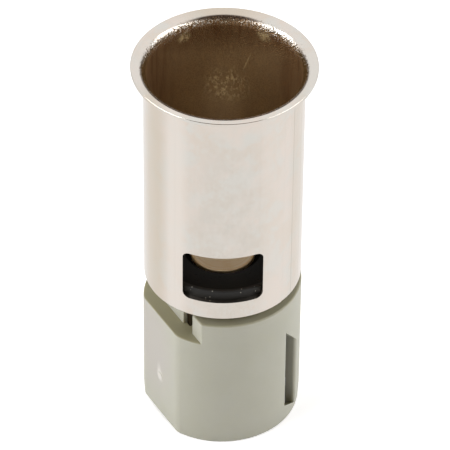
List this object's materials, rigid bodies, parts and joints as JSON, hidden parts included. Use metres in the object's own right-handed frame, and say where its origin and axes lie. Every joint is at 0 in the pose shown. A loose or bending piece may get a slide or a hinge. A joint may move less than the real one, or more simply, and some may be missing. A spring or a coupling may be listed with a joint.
{
  "type": "car 12 v power socket",
  "caption": "Car accessory power socket: plated metal barrel with a flared rim and side windows, insulated centre contact, on a grey keyed connector housing.",
  "frame": {"origin": "centre of the connector housing's mouth, on the barrel's axis, at the lowest face", "axes": "+Z along the barrel's axis up to its mouth, windows facing -Y and +Y, key flat facing -X and -Y at 210 degrees from +X"},
  "size_m": [0.0256, 0.0256, 0.06],
  "materials": {
    "nickel_plate": "bright nickel plate on drawn steel",
    "black_moulding": "satin black moulding",
    "contact_metal": "dull plated brass",
    "spring_steel": "plain spring steel",
    "terminal_strip": "tin plated brass strip",
    "grey_moulding": "fine matte grey moulding"
  },
  "bodies": {
    "root": {"barrel": "nickel_plate", "insulator": "black_moulding", "centre_contact": "contact_metal", "spring_washer": "spring_steel", "positive_terminal": "terminal_strip", "ground_terminal": "terminal_strip", "connector_housing": "grey_moulding"}
  },
  "joints": []
}
